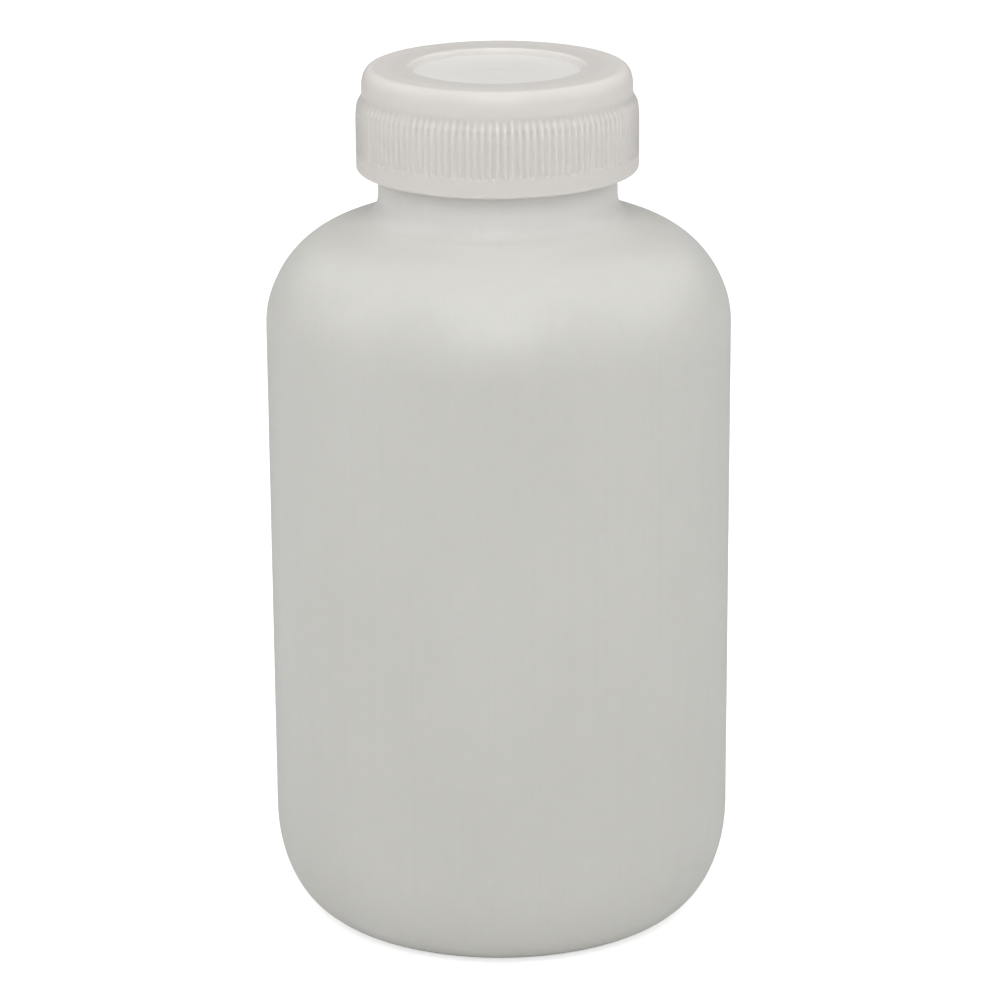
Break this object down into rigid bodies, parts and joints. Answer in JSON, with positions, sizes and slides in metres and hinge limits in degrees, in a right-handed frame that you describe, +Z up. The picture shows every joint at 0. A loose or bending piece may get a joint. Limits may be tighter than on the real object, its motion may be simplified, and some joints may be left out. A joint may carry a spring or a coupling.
{
  "type": "reagent bottle",
  "caption": "Wide-mouth translucent plastic reagent bottle with a rounded shoulder, a captive sealing plug and a ribbed screw cap with a recessed top.",
  "frame": {"origin": "centre of the stand ring, on the plane the bottle stands on", "axes": "+Z up along the bottle's axis and the thread's axis, towards the cap; +X and +Y level, with the thread starting at +X"},
  "size_m": [0.079, 0.079, 0.1484],
  "materials": {
    "bottle_polyethylene": "natural translucent blow-moulded polyethylene, satin",
    "plug_polyethylene": "natural soft polyethylene, satin",
    "cap_polypropylene": "natural translucent injection-moulded polypropylene, satin"
  },
  "bodies": {
    "bottle": {"bottle_body": "bottle_polyethylene"},
    "plug": {"sealing_plug": "plug_polyethylene"},
    "cap": {"screw_cap": "cap_polypropylene"}
  },
  "joints": [
    {"name": "closure_lift", "type": "slide", "parent": "bottle", "child": "plug", "axis": [0, 0, 1], "range_m": [0, 0.0211]},
    {"name": "cap_turn", "type": "hinge", "parent": "plug", "child": "cap", "pos_m": [0, 0, 0.14], "axis": [0, 0, 1], "range_deg": [0, 1800]}
  ],
  "couplings": [
    {"joint": "closure_lift", "follows": "cap_turn", "m_per_rad": 0.00066845}
  ]
}
